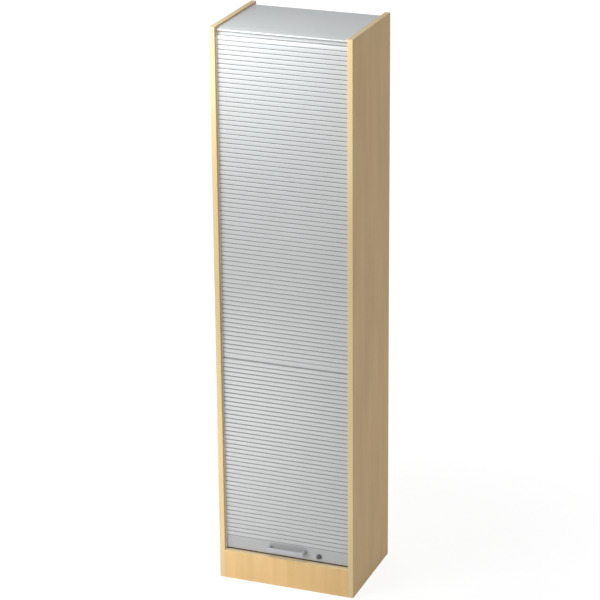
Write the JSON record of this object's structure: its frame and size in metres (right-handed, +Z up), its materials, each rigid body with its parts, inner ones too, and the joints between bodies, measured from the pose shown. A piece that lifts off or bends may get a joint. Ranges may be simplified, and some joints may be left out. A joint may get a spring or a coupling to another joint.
{
  "type": "tambour door cabinet",
  "caption": "Tall narrow file cabinet whose slatted roller curtain slides up its front in side tracks, over the top and down behind the inner back; lockable bottom rail with bow handle.",
  "frame": {"origin": "middle of the whole object's box, at the floor", "axes": "+Z up, +Y towards the back, +X to the right of someone facing the curtain"},
  "size_m": [0.5, 0.379, 2.004],
  "materials": {
    "maple_board": "melamine-faced board with a light maple decor, satin",
    "maple_edge": "plastic edge banding in light maple decor, satin",
    "back_board": "thin fibreboard with a light maple print",
    "silver_slat": "silver coloured plastic slats, satin",
    "silver_cover": "silver coloured sheet, satin",
    "silver_rail": "silver anodised profile, satin",
    "silver_handle": "silver lacquered bow, satin",
    "track_plastic": "smooth pale plastic profile",
    "buffer_rubber": "dark soft rubber",
    "black_plastic": "black moulded plastic",
    "lock_dark": "dark grey nickel, satin",
    "zinc_steel": "zinc plated"
  },
  "bodies": {
    "carcass": {"side_panel_left": "maple_board", "side_panel_right": "maple_board", "front_edge_left": "maple_edge", "front_edge_right": "maple_edge", "top_edge_left": "maple_edge", "top_edge_right": "maple_edge", "plinth_panel": "maple_board", "rear_plinth": "maple_board", "plinth_block_left": "maple_board", "plinth_block_right": "maple_board", "base_board": "maple_board", "top_board": "maple_board", "fixed_shelf": "maple_board", "inner_back": "back_board", "outer_back": "back_board", "top_cover": "silver_cover", "track_left": "track_plastic", "track_right": "track_plastic", "lock_keeper": "zinc_steel", "keeper_screw_1": "zinc_steel", "keeper_screw_2": "zinc_steel", "shelf_1": "maple_board", "shelf_1_pin_front_left": "zinc_steel", "shelf_1_pin_front_right": "zinc_steel", "shelf_1_pin_back_left": "zinc_steel", "shelf_1_pin_back_right": "zinc_steel", "shelf_2": "maple_board", "shelf_2_pin_front_left": "zinc_steel", "shelf_2_pin_front_right": "zinc_steel", "shelf_2_pin_back_left": "zinc_steel", "shelf_2_pin_back_right": "zinc_steel", "shelf_4": "maple_board", "shelf_4_pin_front_left": "zinc_steel", "shelf_4_pin_front_right": "zinc_steel", "shelf_4_pin_back_left": "zinc_steel", "shelf_4_pin_back_right": "zinc_steel", "curtain_upper": "silver_slat", "joint_profile": "silver_slat", "curtain_lower": "silver_slat", "curtain_loop": "silver_slat"},
    "shutter": {"bottom_rail": "silver_rail", "rail_glide_left": "black_plastic", "rail_glide_right": "black_plastic", "rail_buffer": "buffer_rubber", "pull_handle": "silver_handle", "handle_screw_1": "zinc_steel", "handle_screw_2": "zinc_steel", "lock_housing": "lock_dark", "lock_nut": "zinc_steel"},
    "lock_core": {"lock_plug": "lock_dark", "lock_cam": "zinc_steel", "cam_screw": "zinc_steel"},
    "curtain_end": {"curtain_tail": "silver_slat", "tail_end_bar": "silver_rail"}
  },
  "joints": [
    {"name": "shutter_lift", "type": "slide", "parent": "carcass", "child": "shutter", "axis": [0, 0, 1], "range_m": [0, 1.792], "deforming": ["curtain_upper", "joint_profile", "curtain_lower"]},
    {"name": "lock_turn", "type": "hinge", "parent": "shutter", "child": "lock_core", "pos_m": [0.118, -0.149, 0.131], "axis": [0, -1, 0], "range_deg": [0, 90]},
    {"name": "curtain_end_drop", "type": "slide", "parent": "carcass", "child": "curtain_end", "axis": [0, 0, -1], "range_m": [0, 1.792]}
  ],
  "couplings": [
    {"joint": "curtain_end_drop", "follows": "shutter_lift", "ratio": 1}
  ]
}
